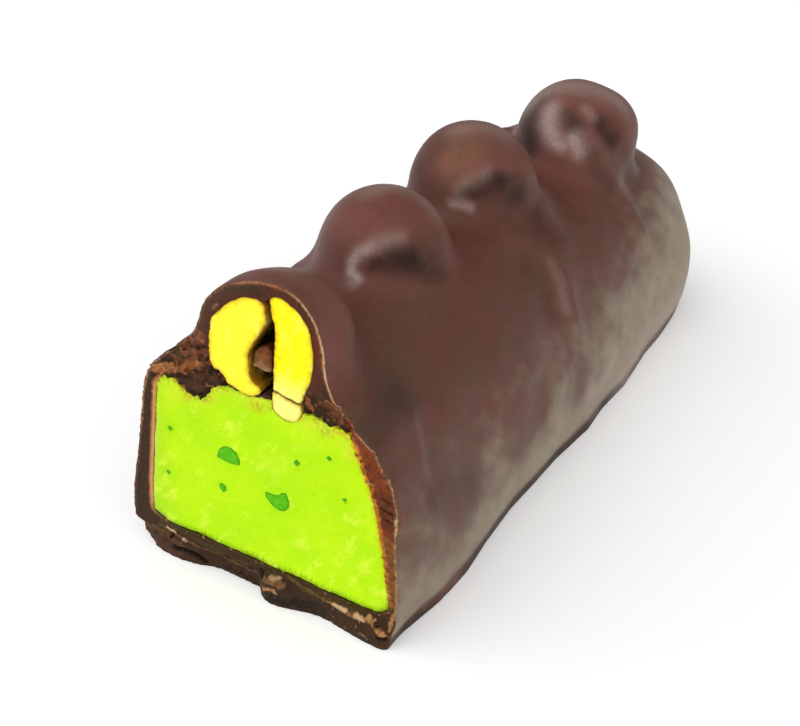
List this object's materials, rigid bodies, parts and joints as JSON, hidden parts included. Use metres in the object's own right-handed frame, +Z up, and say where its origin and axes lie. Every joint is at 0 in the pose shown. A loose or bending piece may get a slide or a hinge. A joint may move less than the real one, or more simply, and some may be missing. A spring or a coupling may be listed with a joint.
{
  "type": "chocolate-coated nut and marzipan bar",
  "caption": "Chocolate-coated green marzipan bar with a row of hazelnuts under the coating, cut across to show its filling and a halved nut.",
  "frame": {"origin": "middle of the bounding box, at the height of the flat base", "axes": "+Z up, +Y along the bar from the cut to the closed end, +X across it"},
  "size_m": [0.0366, 0.0996, 0.0403],
  "materials": {
    "chocolate": "satin dark chocolate",
    "marzipan": "matt, moist paste",
    "hazelnut": "matt, waxy"
  },
  "bodies": {
    "root": {"chocolate_coating": "chocolate", "marzipan": "marzipan", "hazelnut_half_left": "hazelnut", "hazelnut_half_right": "hazelnut", "hazelnut_chip": "hazelnut", "chocolate_shard": "chocolate"}
  },
  "joints": []
}
